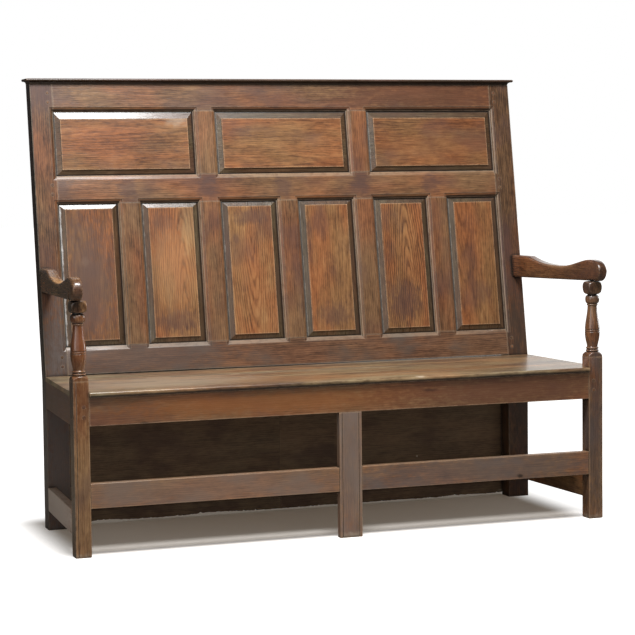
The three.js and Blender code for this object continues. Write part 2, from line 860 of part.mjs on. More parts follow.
function noseOutline() {
  const outline = new THREE.Shape();
  outline.moveTo(seatSplit - fit, boardBottom);
  outline.lineTo(seatSplit - fit, boardTop);
  outline.lineTo(-seatOverhang + seatNose, boardTop);
  outline.absarc(-seatOverhang + seatNose, boardTop - seatNose, seatNose, Math.PI / 2, Math.PI);
  outline.lineTo(-seatOverhang, boardBottom + seatNose);
  outline.absarc(-seatOverhang + seatNose, boardBottom + seatNose, seatNose, Math.PI, -Math.PI / 2);
  return outline;
}

function frontBoard() {
  const board = solidOf(across(noseOutline(), -halfWidth, halfWidth, { curveSegments: noseSteps }));
  const notches = [-1, 1].map((side) => {
    const x1 = side * (halfWidth + overrun);
    return solidOf(block(side * (legInner - fit), x1, -seatOverhang - overrun, legSide + fit, 0, postTop));
  });
  return cut(board.intersect(seatPlan(-seatOverhang, seatSplit)), notches);
}

function rearBoard() {
  const y0 = seatSplit;
  const y1 = seatDepth + seatRearReach;
  const notches = [-1, 1].map((side) => {
    const x1 = side * (halfWidth + overrun);
    return solidOf(block(side * (stileInner - fit), x1, seatDepth - fit, y1 + overrun, 0, postTop));
  });
  return cut(seatPlan(y0, y1), notches);
}

piece(settle, 'seat_board_front', frontBoard(), seatOak);
piece(settle, 'seat_board_rear', rearBoard(), seatOak);

// Boards nailed over the back below the seat
function lowerBoard(x0, x1) {
  const y0 = legBack + fit;
  return solidOf(block(x0, x1, y0, y0 + lowerBoardThick, lowerBoardFoot, lowerBoardTop));
}

const boardEnd = stileInner + lowerBoardLap;
piece(settle, 'lower_back_board_left', lowerBoard(-boardEnd, -lowerBoardJoint - fit), backOak);
piece(settle, 'lower_back_board_right', lowerBoard(-lowerBoardJoint + fit, boardEnd), backOak);

// Arms: level at the stile, hollowed to a waist and rolled over in front of the post
const armRun = seatDepth + Math.tan(rake) * (postTop - kneeHeight) - legSide / 2;
const armSplay = Math.atan((backInset + armWidth / 2 - legSide / 2 + armOutset) / armRun);

function armOutline(lift) {
  const rear = armRun + stileThick;
  const topRear = armRearHeight - lift;
  const flatEnd = armRun - armFlat + backInset / 2;
  const outline = new THREE.Shape();
  outline.moveTo(rear, -armRearDrop - lift);
  outline.lineTo(rear, topRear);
  outline.lineTo(flatEnd, topRear);
  outline.bezierCurveTo(
    flatEnd - armFlat / 2,
    armWaist + (topRear - armWaist) * hollowShare,
    armWaistPlace + armFlat,
    armWaist,
    armWaistPlace,
    armWaist,
  );
  outline.bezierCurveTo(
    armWaistPlace * waistShare,
    armWaist,
    scrollCrownPlace + armWaist,
    scrollHeight,
    scrollCrownPlace,
    scrollHeight,
  );
  outline.quadraticCurveTo(-scrollReach, scrollHeight, -scrollReach, scrollHeight / 2);
  outline.quadraticCurveTo(-scrollReach, 0, -scrollFootPlace, 0);
  outline.lineTo(blockSide / 2, 0);
  return outline;
}

function arm(side, lift) {
  const base = postTop + lift + fit;
  const placement = new THREE.Matrix4().makeRotationZ(side * armSplay);
  placement.setPosition(side * (postPlace + armOutset), legSide / 2, base);
  const toArm = placement.clone().invert();
  const backToArm = toArm.clone().multiply(backPlacement);
  const outline = armOutline(lift);
  const half = armWidth / 2 - armEase;
  const rounding = {
    bevelEnabled: true,
    bevelThickness: armEase,
    bevelSize: armEase,
    bevelOffset: -armEase,
    bevelSegments: armEaseSteps,
    curveSegments: armSteps,
  };
  const body = solidOf(across(outline, -half, half, rounding));
  const beyond = block(-benchWidth, benchWidth, -fit, benchWidth, -benchWidth, benchWidth);
  const shouldered = body.subtract(solidOf(beyond.applyMatrix4(backToArm)));
  const tenon = solidOf(armTenon(side).applyMatrix4(backToArm));
  const radius = postTenonRadius + fit;
  const bore = new THREE.CylinderGeometry(radius, radius, postTenonLength + overrun, turnedFacets);
  bore.rotateX(Math.PI / 2).translate(side * postPlace, legSide / 2, base + (postTenonLength - overrun) / 2);
  return shouldered.add(tenon).subtract(solidOf(bore.applyMatrix4(toArm)));
}

for (const { side, hand, lift } of SIDES) {
  const mesh = piece(settle, `arm_${hand}`, arm(side, lift), frameOak);
  mesh.position.set(side * (postPlace + armOutset), legSide / 2, postTop + lift + fit);
  mesh.rotation.z = side * armSplay;
}

// Origin on the floor, under the middle of the whole bench
const box = new THREE.Box3().setFromObject(settle, true);
const middle = box.getCenter(new THREE.Vector3());
settle.position.set(-middle.x, -middle.y, -box.min.z);

export default settle;
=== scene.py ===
# Panelled oak settle: worn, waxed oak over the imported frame, in a plain white studio.

import math
import random

import bmesh
import bpy
from mathutils import Matrix, Vector, noise
from mathutils.bvhtree import BVHTree


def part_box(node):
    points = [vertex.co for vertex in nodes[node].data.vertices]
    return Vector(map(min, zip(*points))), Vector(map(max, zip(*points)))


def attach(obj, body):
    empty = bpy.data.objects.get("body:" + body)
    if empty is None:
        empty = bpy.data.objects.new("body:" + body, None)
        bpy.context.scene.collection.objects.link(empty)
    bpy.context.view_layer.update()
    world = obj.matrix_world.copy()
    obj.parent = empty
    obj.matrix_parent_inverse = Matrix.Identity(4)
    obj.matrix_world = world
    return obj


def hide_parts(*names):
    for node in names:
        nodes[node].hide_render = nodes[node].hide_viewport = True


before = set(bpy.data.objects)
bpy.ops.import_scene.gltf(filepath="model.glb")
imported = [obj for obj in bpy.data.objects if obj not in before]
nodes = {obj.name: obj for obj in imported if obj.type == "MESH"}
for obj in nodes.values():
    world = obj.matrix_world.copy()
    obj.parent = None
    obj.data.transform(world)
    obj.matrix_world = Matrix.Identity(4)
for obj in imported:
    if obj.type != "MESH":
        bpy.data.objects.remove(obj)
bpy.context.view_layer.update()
SIDES = ("left", "right")
MM = 0.001

# The bench's own measures: the left leg's box, and how the back leans from its knee at the seat
leg_low, leg_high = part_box("front_leg_left")
RAKE = math.radians(9.35)
BACK_KNEE = Vector((0, 0.143, 0.45))
BEHIND = Vector((0, math.cos(RAKE), -math.sin(RAKE)))


# Camera: at the place that the photograph was taken from
PICTURE_PX = 635
SENSOR_MM = 36


def look_from(place, heading, dip, roll, focal_px, centre_px):
    forward = Vector((
        math.sin(heading) * math.cos(dip),
        math.cos(heading) * math.cos(dip),
        -math.sin(dip),
    ))
    level = Vector((math.cos(heading), -math.sin(heading), 0))
    rise = level.cross(forward)
    right = math.cos(roll) * level + math.sin(roll) * rise
    up = math.cos(roll) * rise - math.sin(roll) * level
    data = bpy.data.cameras.new("camera")
    data.sensor_width = SENSOR_MM
    data.lens = focal_px * SENSOR_MM / PICTURE_PX
    data.shift_x = 0.5 - centre_px[0] / PICTURE_PX
    data.shift_y = centre_px[1] / PICTURE_PX - 0.5
    camera = bpy.data.objects.new("camera", data)
    turn = Matrix((right, up, -forward)).transposed()
    camera.matrix_world = Matrix.Translation(place) @ turn.to_4x4()
    bpy.context.scene.collection.objects.link(camera)
    bpy.context.scene.camera = camera


look_from(
    place=Vector((leg_low.x, leg_low.y, 0)) + Vector((-1202.97, -5254.93, 1055.71)) * MM,
    heading=0.3406,
    dip=0.0721,
    roll=-0.0120,
    focal_px=1997.4,
    centre_px=(302.5, 310.3),
)


# Short ways to build node trees
class Graph:
    def __init__(self, tree):
        self.tree = tree
        tree.nodes.clear()

    def add(self, kind, inputs=None, **settings):
        node = self.tree.nodes.new(kind)
        for key, value in settings.items():
            setattr(node, key, value)
        for key, value in (inputs or {}).items():
            self.put(node.inputs[key], value)
        return node

    def put(self, socket, value):
        if isinstance(value, bpy.types.NodeSocket):
            self.tree.links.new(value, socket)
        else:
            socket.default_value = value

    def math(self, operation, *values):
        return self.add("ShaderNodeMath", dict(enumerate(values)), operation=operation).outputs[0]

    def vector(self, operation, *values):
        return self.add("ShaderNodeVectorMath", dict(enumerate(values)), operation=operation).outputs[0]

    def measure(self, operation, *values):
        """A vector operation that gives a number."""
        return self.add("ShaderNodeVectorMath", dict(enumerate(values)), operation=operation).outputs["Value"]

    def parts(self, value):
        return self.add("ShaderNodeSeparateXYZ", {0: value}).outputs

    def where(self):
        """The point's place on the bench, in metres."""
        return self.add("ShaderNodeTexCoord").outputs["Object"]

    def swing(self, value, amount):
        """Noise made to swing either side of nought."""
        return self.math("MULTIPLY", self.math("SUBTRACT", value, 0.5), amount)

    def mix(self, factor, a, b, blend="MIX"):
        node = self.add("ShaderNodeMix", data_type="RGBA", blend_type=blend)
        self.put(node.inputs["Factor"], factor)
        self.put(node.inputs[6], a)
        self.put(node.inputs[7], b)
        return node.outputs[2]

    def spread(self, value, low, high, to_low=0.0, to_high=1.0):
        """A smooth step from one value to another as the input goes from low to high."""
        ends = {"Value": value, "From Min": low, "From Max": high, "To Min": to_low, "To Max": to_high}
        return self.add("ShaderNodeMapRange", ends, interpolation_type="SMOOTHSTEP").outputs[0]

    def noise(self, place, stretch, detail=2.0, roughness=0.5, distortion=0.0):
        """Noise with so many repeats per metre along, across and into the grain."""
        inputs = {"Vector": self.vector("MULTIPLY", place, stretch), "Scale": 1.0}
        inputs.update(Detail=detail, Roughness=roughness, Distortion=distortion)
        return self.add("ShaderNodeTexNoise", inputs).outputs[0]

    def ramp(self, value, stops):
        node = self.add("ShaderNodeValToRGB", {"Fac": value})
        places = node.color_ramp.elements
        while len(places) < len(stops):
            places.new(0.5)
        for element, (place, colour) in zip(places, stops):
            element.position = place
            element.color = (*colour, 1)
        return node.outputs[0]


def colour(red, green, blue):
    """A colour as it looks on screen, from 0 to 255, made linear."""
    def linear(level):
        level /= 255
        return level / 12.92 if level <= 0.04045 else ((level + 0.055) / 1.055) ** 2.4
    return (linear(red), linear(green), linear(blue))


def solid(values):
    return (*values, 1)


# Which way a piece's grain runs: its length, then across its face, then into the wood
GRAINS = {
    "across_back": ("X", "Z", "Y", True),
    "up_back": ("Z", "X", "Y", True),
    "across": ("X", "Z", "Y", False),
    "up": ("Z", "X", "Y", False),
    "flat": ("X", "Y", "Z", False),
    "deep": ("Y", "X", "Z", False),
    "side": ("Y", "Z", "X", False),
}


def grain_place(graph, grain, middle, seed):
    """Where a point is in its own plank, in metres from its middle: along, across and into the grain."""
    length, face, depth, raked = GRAINS[grain]
    place = graph.vector("SUBTRACT", graph.where(), tuple(middle))
    if raked:
        settings = {"Vector": place, "Rotation": (RAKE, 0, 0)}
        place = graph.add("ShaderNodeMapping", settings, vector_type="POINT").outputs[0]
    parts = graph.parts(place)
    order = {0: parts[length], 1: parts[face], 2: parts[depth]}
    own = graph.add("ShaderNodeCombineXYZ", order).outputs[0]
    dice = random.Random(seed)
    shift = (dice.uniform(0, 40), dice.uniform(0, 9), dice.uniform(0, 3))
    return own, graph.vector("ADD", own, shift), dice.random()


RIPPLE = 6 * MM
EARLY_FULL, LATE_START = 0.45, 0.75


def growth_rings(graph, own, place, look, chance):
    """Dark early wood of the rings that the plank's face cuts through, as straight lines or as arches."""
    wander = graph.swing(graph.noise(place, (2.6, 14.0, 14.0), detail=3.0), look["wander"])
    ripple = graph.swing(graph.noise(place, (30.0, 50.0, 50.0), detail=2.0), RIPPLE)
    wander = graph.math("ADD", ripple, wander)
    parts = graph.parts(own)
    heart_across, heart_under = look["heart"]
    aside = graph.math("SUBTRACT", graph.math("ADD", parts["Y"], wander), heart_across)
    under = graph.math("MULTIPLY_ADD", parts["X"], look["climb"], heart_under)
    under = graph.math("ADD", under, graph.math("MULTIPLY", wander, 0.5))
    squares = graph.math("ADD", graph.math("POWER", aside, 2.0), graph.math("POWER", under, 2.0))
    rings_out = graph.math("DIVIDE", graph.math("SQRT", squares), look["ring"])
    turn = graph.math("FRACT", graph.math("ADD", rings_out, chance))
    rise = graph.spread(turn, 0.0, EARLY_FULL)
    fall = graph.spread(turn, LATE_START, 1.0, 1.0, 0.0)
    return graph.math("MINIMUM", rise, fall)


def spot(graph, base, edge, place, reach, shade, strength, ragged=1.3):
    """A patch with an uneven edge, round a place on the bench: a knot, a stain, a worn patch, painted shade or
    a painted highlight.
    """
    away = graph.vector("DIVIDE", graph.vector("SUBTRACT", graph.where(), place), reach)
    far = graph.math("ADD", graph.swing(edge, ragged), graph.measure("LENGTH", away))
    return graph.mix(graph.spread(far, 0.25, 1.0, strength, 0.0), base, solid(shade))


# Painted shade in the back frame's mouldings: the depths where it fades out, how far above the seat it fades
# in, and how dark it gets
MOULD_TOP, MOULD_FOOT = 16 * MM, 20 * MM
KNEE_FADE = 10 * MM
JOINT_DIRT = 0.92


def joint_dirt(graph, first, last):
    """Painted shade deep in the back frame's mouldings, above the seat: it grows between two depths behind the
    face.
    """
    from_knee = graph.vector("SUBTRACT", graph.where(), BACK_KNEE)
    depth = graph.measure("DOT_PRODUCT", from_knee, BEHIND)
    over_knee = graph.spread(graph.parts(from_knee)["Z"], 0.0, KNEE_FADE)
    in_mould = graph.math("MULTIPLY", over_knee, graph.spread(depth, MOULD_TOP, MOULD_FOOT, 1.0, 0.0))
    return graph.math("MULTIPLY", graph.spread(depth, first, last, 0.0, JOINT_DIRT), in_mould)


CRACK_BEND = 0.02
CRACK_FADE = 0.06


def crack(graph, base, own, place, across, first, last, width):
    """A drying crack along the grain, open here and there, with a pale worn lip."""
    parts = graph.parts(own)
    bend = graph.swing(graph.noise(place, (5.0, 0.0, 0.0)), CRACK_BEND)
    off = graph.math("ABSOLUTE", graph.math("SUBTRACT", graph.math("ADD", parts["Y"], bend), across))
    broken = graph.spread(graph.noise(place, (9.0, 0.0, 0.0), detail=5.0), 0.36, 0.46)
    ends = graph.math(
        "MULTIPLY",
        graph.spread(parts["X"], first, first + CRACK_FADE),
        graph.spread(parts["X"], last - CRACK_FADE, last, 1.0, 0.0),
    )
    lip = graph.math("MULTIPLY", graph.spread(off, width, 3.0 * width, 0.55, 0.0), ends)
    base = graph.mix(lip, base, solid(CRACK_LIP))
    open_here = graph.math("MULTIPLY", broken, ends)
    dark = graph.math("MULTIPLY", graph.spread(off, 0.5 * width, width, 0.9, 0.0), open_here)
    return graph.mix(dark, base, solid(CRACK_DEEP))


# Noise that makes up old oak: repeats per metre, detail, roughness and distortion
OAK_NOISE = {
    "fibre": ((26.0, 300.0, 300.0), 4.0, 0.7),
    "streak": ((12.0, 130.0, 130.0), 4.0, 0.65),
    "band": ((2.4, 26.0, 26.0), 2.0),
    "blotch": ((6.0, 15.0, 15.0), 4.0, 0.6, 0.8),
    "mottled": ((45.0, 90.0, 90.0), 4.0, 0.65),
}
SWAY = 12 * MM
CLOUD_SHIFT = (3.7, 1.9, 5.3)
DRIFT_SHIFT = (8.1, 4.4, 1.7)
GRAIN_LOT = 0


def swayed(graph, place):
    """The place in the plank, with the slow sway of the grain."""
    sway = graph.swing(graph.noise(place, (4.0, 16.0, 16.0), detail=1.0), SWAY)
    return graph.vector("ADD", place, graph.add("ShaderNodeCombineXYZ", {1: sway, 2: sway}).outputs[0])


def bare_wood(graph, own, place, look, layer):
    """The wood's colour: rings, streaks, pores, tint and stain, then the spots and cracks of its own; some
    spots are painted shade and painted highlights.
    """
    rings = graph.math("MULTIPLY", graph.math("SUBTRACT", layer["early"], 0.7), look["figure"])
    tone = graph.math("ADD", look["tone"], rings)
    amounts = {"fibre": 2.2, "streak": 1.6, "band": look["bands"], "blotch": 1.5, "mottled": 1.2}
    for name, amount in amounts.items():
        tone = graph.math("ADD", tone, graph.swing(layer[name], amount * look["contrast"]))
    tone = graph.math("SUBTRACT", tone, graph.math("MULTIPLY", layer["pore"], look["pores"]))
    base = graph.ramp(tone, look["ramp"])
    cloud = graph.noise(graph.vector("ADD", place, CLOUD_SHIFT), (6.0, 10.0, 10.0), detail=3.0)
    drift = graph.noise(graph.vector("ADD", place, DRIFT_SHIFT), (3.5, 9.0, 9.0), detail=3.0)
    tint = graph.mix(graph.spread(drift, 0.36, 0.64), solid(OLIVE), solid(AMBER))
    base = graph.mix(look["tint"], base, tint, "MULTIPLY")
    base = graph.mix(graph.spread(cloud, 0.47, 0.68, 0.0, look["stain"]), base, solid(look["stain_colour"]))
    for mark in look["spots"]:
        base = spot(graph, base, layer["mottled"], *mark)
    for line in look["cracks"]:
        base = crack(graph, base, own, place, *line)
    return base


CORNER_REACH = 16 * MM
CREASE_REACH = 9 * MM


def weathered(graph, base, look, mottled):
    """Dirt and painted shade in corners, painted shade under things, in creases and in the mouldings'
    recesses, painted highlights on upward and left-facing faces mixed with wear, and wear on edges, over the
    wood's colour. Gives the colour and where the corners are darkened.
    """
    def openness(reach, inside=False):
        settings = {"samples": 6, "inside": inside}
        return graph.add("ShaderNodeAmbientOcclusion", {"Distance": reach}, **settings).outputs["AO"]

    def patchy(amount, low, high, least):
        return graph.math("MULTIPLY", amount, graph.spread(mottled, low, high, least, 1.0))

    # Darker in corners and hollows, found by ambient occlusion: partly dirt, partly painted shade
    grime = patchy(graph.spread(openness(CORNER_REACH), 0.3, 0.92, look["grime"], 0.0), 0.25, 0.6, 0.6)
    base = graph.mix(grime, base, solid(look["grime_colour"]))
    facing = graph.parts(graph.add("ShaderNodeNewGeometry").outputs["Normal"])
    # Faces that look downward are darkened: painted shade under things
    underside = graph.spread(facing["Z"], -0.6, -0.2, look["under"], 0.0)
    base = graph.mix(underside, base, solid(look["grime_colour"]))
    # Left-facing moulding faces get a painted highlight, and upward faces a pale colour that is partly wear
    # and partly painted light from above
    lip = graph.math(
        "MULTIPLY",
        graph.spread(facing["X"], -0.62, -0.5, look["lip"], 0.0),
        graph.spread(facing["X"], -0.88, -0.78),
    )
    ledge = graph.math("MAXIMUM", graph.spread(facing["Z"], 0.35, 0.75, 0.0, look["ledge"]), lip)
    base = graph.mix(patchy(ledge, 0.3, 0.55, 0.5), base, solid(look["worn_colour"]))
    # Darkened in creases and narrow gaps: painted shade
    crease = graph.spread(openness(CREASE_REACH), 0.5, 0.92, look["crease"], 0.0)
    base = graph.mix(crease, base, solid(SOOT))
    # Darkened deep in the mouldings, between two depths behind the face: painted shade
    if look["dirt_line"]:
        deep = patchy(joint_dirt(graph, *look["dirt_line"]), 0.25, 0.5, 0.75)
        base = graph.mix(deep, base, solid(SOOT))
    edges = graph.spread(openness(look["rim"], inside=True), 0.45, 0.95, look["worn"], 0.0)
    base = graph.mix(patchy(edges, 0.3, 0.55, 0.3), base, solid(look["worn_colour"]))
    return base, grime


def uneven(graph, place, look, layer):
    """The surface's normal: the plank's slow heave, with fibres, rings and pores in it."""
    height = graph.math("MULTIPLY", layer["fibre"], 0.8)
    height = graph.math("ADD", height, graph.math("MULTIPLY", layer["early"], 0.25))
    height = graph.math("SUBTRACT", height, graph.math("MULTIPLY", layer["pore"], 0.4))
    heave = graph.noise(place, (7.0, 24.0, 24.0), detail=1.0)
    settings = {"Height": heave, "Distance": look["heave"] * MM, "Strength": 1.0}
    broad = graph.add("ShaderNodeBump", settings).outputs[0]
    settings = {"Height": height, "Distance": 0.4 * MM, "Strength": look["relief"], "Normal": broad}
    return graph.add("ShaderNodeBump", settings).outputs[0]


def oak(name, grain, look, middle):
    """Old oak: growth rings cut through by the plank's face, streaks, stains, dirt, worn arrises, and painted
    shade and highlights.
    """
    material = bpy.data.materials.new(name)
    material.use_nodes = True
    graph = Graph(material.node_tree)
    own, place, chance = grain_place(graph, grain, middle, f"{name} {GRAIN_LOT}")
    place = swayed(graph, place)
    layer = {key: graph.noise(place, *values) for key, values in OAK_NOISE.items()}
    layer["early"] = growth_rings(graph, own, place, look, chance)
    layer["pore"] = graph.spread(graph.noise(place, (48.0, 430.0, 430.0), detail=1.0), 0.58, 0.7)
    base, grime = weathered(graph, bare_wood(graph, own, place, look, layer), look, layer["mottled"])
    gloss = graph.math("MULTIPLY_ADD", layer["streak"], 0.25, look["rough"] - 0.125)
    gloss = graph.math("ADD", gloss, graph.math("MULTIPLY", grime, 0.15))
    shader = graph.add("ShaderNodeBsdfPrincipled", {
        "Base Color": base,
        "Roughness": gloss,
        "Normal": uneven(graph, place, look, layer),
        "Specular IOR Level": look["shine"],
        "Coat Weight": look["wax"],
        "Coat Roughness": look["wax_rough"],
    })
    graph.add("ShaderNodeOutputMaterial", {"Surface": shader.outputs[0]})
    return material


# Colours of each kind of piece, from its darkest streak to its lightest
OLIVE = colour(238, 246, 226)
AMBER = colour(255, 226, 192)
FRAME_RAMP = [
    (0.0, colour(40, 26, 19)),
    (0.25, colour(86, 58, 41)),
    (0.5, colour(138, 98, 70)),
    (0.75, colour(172, 128, 94)),
    (1.0, colour(204, 164, 126)),
]
PANEL_RAMP = [
    (0.0, colour(52, 32, 22)),
    (0.25, colour(98, 63, 40)),
    (0.5, colour(154, 106, 69)),
    (0.75, colour(184, 137, 95)),
    (1.0, colour(212, 174, 130)),
]
# The bevels' oak is a darker, greyer copy of the panels': painted shade and painted grey reflection
BEVEL_RAMP = [(0.0, colour(34, 25, 19)), (0.5, colour(90, 72, 57)), (1.0, colour(140, 120, 100))]
DARK_RAMP = [(0.0, colour(30, 22, 17)), (0.5, colour(88, 70, 55)), (1.0, colour(140, 114, 88))]
SEAT_RAMP = [
    (0.0, colour(62, 46, 33)),
    (0.3, colour(116, 92, 70)),
    (0.5, colour(156, 130, 103)),
    (0.75, colour(184, 160, 132)),
    (1.0, colour(212, 194, 168)),
]
CREST_RAMP = [(0.0, colour(24, 16, 13)), (0.5, colour(58, 41, 34)), (1.0, colour(96, 70, 56))]
# Near-black brown for painted shade in creases, recesses, gaps and on shaded sides, and for a few small dark
# marks
SOOT = colour(26, 19, 15)
PURPLE = colour(84, 60, 54)
PALE = colour(214, 196, 170)
CRACK_LIP = colour(190, 168, 140)
CRACK_DEEP = colour(26, 19, 14)

# What a look says, where it says nothing else: lengths in metres, heave in mm, the rest in shares
BASE_LOOK = {
    "tone": 0.5,
    "contrast": 0.3,
    "figure": 0.1,
    "bands": 0.8,
    "pores": 0.06,
    "ramp": FRAME_RAMP,
    "tint": 0.9,
    "ring": 6 * MM,
    "heart": (0.22, 0.05),
    "climb": 0.03,
    "wander": 0.02,
    "stain": 0.5,
    "stain_colour": PURPLE,
    "spots": (),
    "cracks": (),
    "grime": 0.9,
    "grime_colour": colour(30, 22, 17),
    "crease": 0.85,
    "dirt_line": None,
    "under": 0.8,
    "ledge": 0.3,
    "lip": 0.0,
    "rim": 4.5 * MM,
    "worn": 0.6,
    "worn_colour": colour(192, 158, 126),
    "rough": 0.42,
    "heave": 0.9,
    "relief": 0.5,
    "shine": 0.5,
    "wax": 0.25,
    "wax_rough": 0.25,
}


def look(**changes):
    return {**BASE_LOOK, **changes}


FRAME = look(
    tone=0.44, contrast=0.26, lip=0.45, worn=0.35, worn_colour=colour(188, 168, 142),
    dirt_line=(7.6 * MM, 9.0 * MM),
)
FRONT = look(worn=0.7)
PANEL = look(
    ramp=PANEL_RAMP, tone=0.46, contrast=0.26, heart=(0.02, 0.02), climb=0.08,
    grime=0.8, under=0.0, worn=0.85, worn_colour=colour(206, 170, 132),
)
BEVEL = look(
    ramp=BEVEL_RAMP, stain=0.3, dirt_line=(10.8 * MM, 11.8 * MM), under=0.0, ledge=0.0,
    worn=0.3, rim=3 * MM, rough=0.3, wax=0.55, wax_rough=0.15,
)
TURNED = look(tone=0.44, rough=0.28, wax=0.7, wax_rough=0.14, heave=0.5, ledge=0.0, under=0.3)
SEAT = look(
    ramp=SEAT_RAMP, contrast=0.42, bands=2.4, figure=0.16, ledge=0.0, under=0.0,
    rough=0.34, wax=0.4, wax_rough=0.2,
)
BOARDS = look(ramp=DARK_RAMP, tone=0.86, tint=0.2, rough=0.62, wax=0.0, shine=0.3, worn=0.2, ledge=0.1)
CREST = look(ramp=CREST_RAMP, rough=0.36, worn=0.3, ledge=0.1)
PEG = look(tone=0.38, rough=0.5, worn=0.0, ledge=0.0)


# Dressed pieces: the CAD solid with its arrises rounded by wear
WELD = 0.01 * MM
FLAT = math.radians(0.6)
SHARP = math.radians(40)
EASE = 1.2 * MM
FULL_EASE = 1.6 * MM
LEG_EASE = 1.4 * MM
CREST_EASE = 1.0 * MM
PANEL_EASE = 0.8 * MM
PEG_EASE = 0.5 * MM


def sharp_edges(bm, below):
    found = [edge for edge in bm.edges if len(edge.link_faces) == 2 and edge.calc_face_angle(0) > SHARP]
    return [edge for edge in found if min(vert.co.z for vert in edge.verts) < below - 0.1 * MM]


def cut_off(bm, place, normal):
    """Cut away what is on the normal's side of a plane, and close the cut."""
    everything = [*bm.verts, *bm.edges, *bm.faces]
    bmesh.ops.bisect_plane(bm, geom=everything, plane_co=place, plane_no=normal, clear_outer=True)
    bmesh.ops.holes_fill(bm, edges=[edge for edge in bm.edges if edge.is_boundary])
    bmesh.ops.recalc_face_normals(bm, faces=bm.faces)


def dressed(name, materials, ease=EASE, pick=None, level=None):
    """A worn copy of a node, up to a level if one is given. It replaces the node.

    Where pick is given it chooses each face's material, and the faces stay flat, with crisp mitres.
    """
    mesh = nodes[name].data.copy()
    mesh.materials.clear()
    piece = bpy.data.objects.new(f"{name}_worn", mesh)
    bpy.context.scene.collection.objects.link(piece)
    for material in materials:
        mesh.materials.append(material)
    bm = bmesh.new()
    bm.from_mesh(mesh)
    bmesh.ops.remove_doubles(bm, verts=bm.verts, dist=WELD)
    bmesh.ops.dissolve_limit(bm, angle_limit=FLAT, verts=bm.verts, edges=bm.edges)
    if level is not None:
        cut_off(bm, (0, 0, level), (0, 0, 1))
    for face in bm.faces:
        face.material_index = pick(face) if pick else 0
        face.smooth = True
    bmesh.ops.bevel(
        bm,
        geom=sharp_edges(bm, math.inf if level is None else level),
        offset=ease,
        offset_type="OFFSET",
        segments=2,
        profile=0.5,
        affect="EDGES",
        clamp_overlap=True,
        material=-1,
    )
    bmesh.ops.triangulate(bm, faces=[face for face in bm.faces if len(face.verts) > 4])
    bm.to_mesh(mesh)
    bm.free()
    for polygon in mesh.polygons:
        polygon.use_smooth = pick is None
    if pick is None:
        weigh = piece.modifiers.new("even_shading", "WEIGHTED_NORMAL")
        weigh.weight = 100
    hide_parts(name)
    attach(piece, "root")
    return piece


def middle_of(name):
    low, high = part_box(name)
    return (low + high) / 2


def starting(*beginnings):
    return sorted(name for name in nodes if name.startswith(beginnings))


def oak_for(name, grain, kind, part="oak", own=None):
    """Oak for a piece or a part of it: its kind's look, changed by what the piece has of its own."""
    return oak(f"{name}_{part}", grain, {**kind, **OWN_LOOKS.get(own or name, {})}, middle_of(name))


def dress_all(names, grain, kind, ease=EASE):
    for name in names:
        dressed(name, [oak_for(name, grain, kind)], ease)


# Panels: a field and bevels, each with its own look, and a tongue that goes into the frame's groove
TONGUE = 8 * MM
BEVEL_LEANS = (math.radians(3), math.radians(60))
# A painted highlight along each panel's left bevel: its reach and its colour
GLEAM_REACH = (6 * MM, 3.0, 3.0)
GLEAM = colour(200, 192, 178)


def on_bevel(face):
    """1 on a panel's bevels, which lean a little from the raked face, and 0 elsewhere."""
    least, most = BEVEL_LEANS
    return 1 if least < face.normal.angle(-BEHIND) < most else 0


def edge_gleam(name):
    """A painted highlight on the outer edge of a panel's left bevel, where it goes into its groove."""
    low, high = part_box(name)
    place = (low.x + TONGUE + 1 * MM, (low.y + high.y) / 2, (low.z + high.z) / 2)
    return (place, GLEAM_REACH, GLEAM, 0.5)


def dress_panels(names, grain):
    for name in names:
        field = oak_for(name, grain, PANEL, "field")
        edged = {**BEVEL, "spots": (edge_gleam(name),)}
        bevel = oak_for(name, grain, edged, "bevel", f"{name}_bevel")
        dressed(name, [field, bevel], PANEL_EASE, on_bevel)


# Turned posts: rows of height over the square leg and radius, in mm, clipped by the square stock
POST_ROWS = [
    (-15.6, 31.6), (-13.2, 31.4), (-11.0, 30.6), (-8.4, 28.9), (-5.8, 26.4), (-3.4, 23.6),
    (-1.4, 20.8), (-0.2, 18.0), (0.3, 16.6), (0.8, 17.6), (2.0, 19.0), (3.6, 19.4),
    (5.2, 19.0), (6.4, 17.6), (6.9, 16.2), (7.8, 16.0), (8.3, 17.2), (9.6, 18.4),
    (11.2, 18.8), (12.8, 18.3), (14.0, 17.0), (14.4, 15.7), (15.8, 15.6), (18.0, 15.9),
    (22.0, 16.6), (28.0, 18.0), (36.0, 19.8), (46.0, 21.2), (54.0, 21.7), (58.4, 21.8),
    (58.8, 21.0), (60.2, 21.0), (60.6, 21.8), (64.6, 21.7), (65.0, 20.9), (66.4, 20.9),
    (66.8, 21.6), (74.0, 21.2), (84.0, 20.2), (94.0, 18.7), (104.0, 17.1), (114.0, 15.6),
    (124.0, 14.5), (132.0, 14.0), (137.4, 13.9), (137.8, 15.2), (139.0, 16.1), (140.4, 16.1),
    (141.4, 15.2), (141.8, 14.4), (143.2, 16.2), (146.0, 18.8), (150.0, 20.2), (155.0, 20.6),
    (160.0, 20.4), (164.0, 19.2), (166.6, 16.8), (167.2, 14.8), (169.6, 14.2), (170.2, 15.8),
    (171.2, 20.6), (174.0, 25.4), (179.4, 28.6), (187.0, 29.6), (194.4, 28.7), (199.6, 26.0),
    (202.6, 22.0), (203.6, 17.0),
]
SQUARE_TOP = 497
STOCK_HALF = 22
BLOCK_FOOT = 170.2
BLOCK_RISE = 10
POST_AROUND = 96
POST_FINENESS = 4
ARRIS_POWER = 60
JOIN_OVERLAP = 0.3 * MM


def share(value, start, end):
    """How far a value is from start to end, between 0 and 1."""
    return min(max((value - start) / (end - start), 0), 1)


